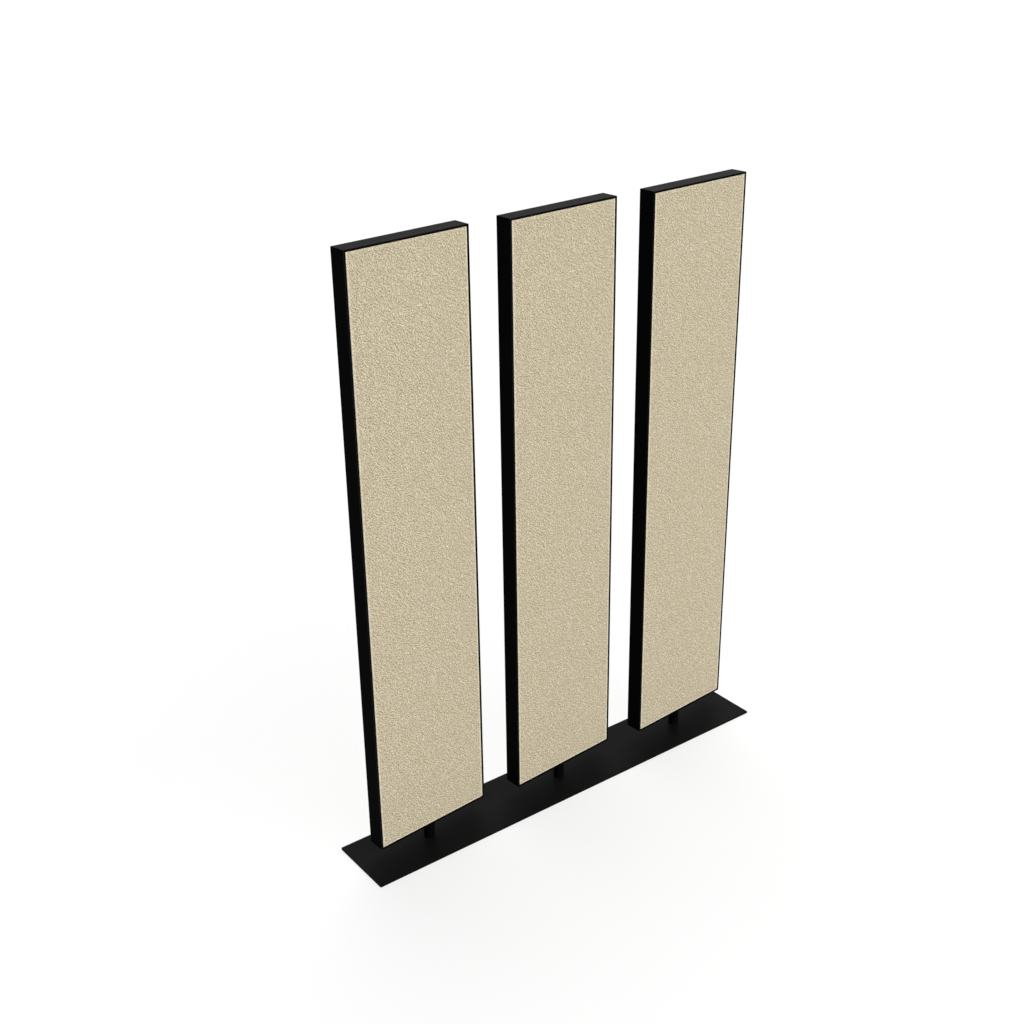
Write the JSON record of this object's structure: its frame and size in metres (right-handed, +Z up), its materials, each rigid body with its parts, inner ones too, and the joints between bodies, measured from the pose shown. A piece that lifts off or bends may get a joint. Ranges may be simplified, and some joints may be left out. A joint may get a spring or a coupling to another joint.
{
  "type": "room divider",
  "caption": "Free-standing room divider of tall fabric-covered panels in slim black frames, each turning on a short round post above a long flat steel base plate.",
  "frame": {"origin": "on the floor under the middle post, at the centre of the base", "axes": "+X along the base plate towards the right panel, +Y towards the back, +Z up; the panels' fronts face -Y"},
  "size_m": [1.34, 0.2, 1.66],
  "materials": {
    "plate_black": "matte",
    "post_black": "matte",
    "frame_black": "satin",
    "beige_fabric": "matte",
    "fibreboard": "matte",
    "core_felt": "matte",
    "bracket_aluminium": "satin",
    "screw_steel": "satin",
    "sleeve_steel": "satin",
    "clip_steel": "satin",
    "bush_polymer": "matte",
    "hook_tape": "matte",
    "pad_rubber": "matte"
  },
  "bodies": {
    "base": {"base_plate": "plate_black", "floor_pads": "pad_rubber", "post_screws": "screw_steel", "spindle_clips": "clip_steel", "left_post": "post_black", "middle_post": "post_black", "right_post": "post_black"},
    "left_panel": {"left_panel_left_stile": "frame_black", "left_panel_right_stile": "frame_black", "left_panel_top_rail": "frame_black", "left_panel_bottom_rail": "frame_black", "left_panel_corner_brackets": "bracket_aluminium", "left_panel_corner_screws": "screw_steel", "left_panel_pivot_sleeve": "sleeve_steel", "left_panel_sleeve_screws": "screw_steel", "left_panel_lower_bush": "bush_polymer", "left_panel_upper_bush": "bush_polymer", "left_panel_core": "core_felt", "left_panel_hook_strips": "hook_tape", "left_panel_front_board": "fibreboard", "left_panel_back_board": "fibreboard", "left_panel_front_fabric": "beige_fabric", "left_panel_back_fabric": "beige_fabric"},
    "middle_panel": {"middle_panel_left_stile": "frame_black", "middle_panel_right_stile": "frame_black", "middle_panel_top_rail": "frame_black", "middle_panel_bottom_rail": "frame_black", "middle_panel_corner_brackets": "bracket_aluminium", "middle_panel_corner_screws": "screw_steel", "middle_panel_pivot_sleeve": "sleeve_steel", "middle_panel_sleeve_screws": "screw_steel", "middle_panel_lower_bush": "bush_polymer", "middle_panel_upper_bush": "bush_polymer", "middle_panel_core": "core_felt", "middle_panel_hook_strips": "hook_tape", "middle_panel_front_board": "fibreboard", "middle_panel_back_board": "fibreboard", "middle_panel_front_fabric": "beige_fabric", "middle_panel_back_fabric": "beige_fabric"},
    "right_panel": {"right_panel_left_stile": "frame_black", "right_panel_right_stile": "frame_black", "right_panel_top_rail": "frame_black", "right_panel_bottom_rail": "frame_black", "right_panel_corner_brackets": "bracket_aluminium", "right_panel_corner_screws": "screw_steel", "right_panel_pivot_sleeve": "sleeve_steel", "right_panel_sleeve_screws": "screw_steel", "right_panel_lower_bush": "bush_polymer", "right_panel_upper_bush": "bush_polymer", "right_panel_core": "core_felt", "right_panel_hook_strips": "hook_tape", "right_panel_front_board": "fibreboard", "right_panel_back_board": "fibreboard", "right_panel_front_fabric": "beige_fabric", "right_panel_back_fabric": "beige_fabric"}
  },
  "joints": [
    {"name": "left_panel_turn", "type": "hinge", "parent": "base", "child": "left_panel", "pos_m": [-0.45, 0, 0.06], "axis": [0, 0, 1], "continuous": true},
    {"name": "middle_panel_turn", "type": "hinge", "parent": "base", "child": "middle_panel", "pos_m": [0, 0, 0.06], "axis": [0, 0, 1], "continuous": true},
    {"name": "right_panel_turn", "type": "hinge", "parent": "base", "child": "right_panel", "pos_m": [0.45, 0, 0.06], "axis": [0, 0, 1], "continuous": true}
  ]
}
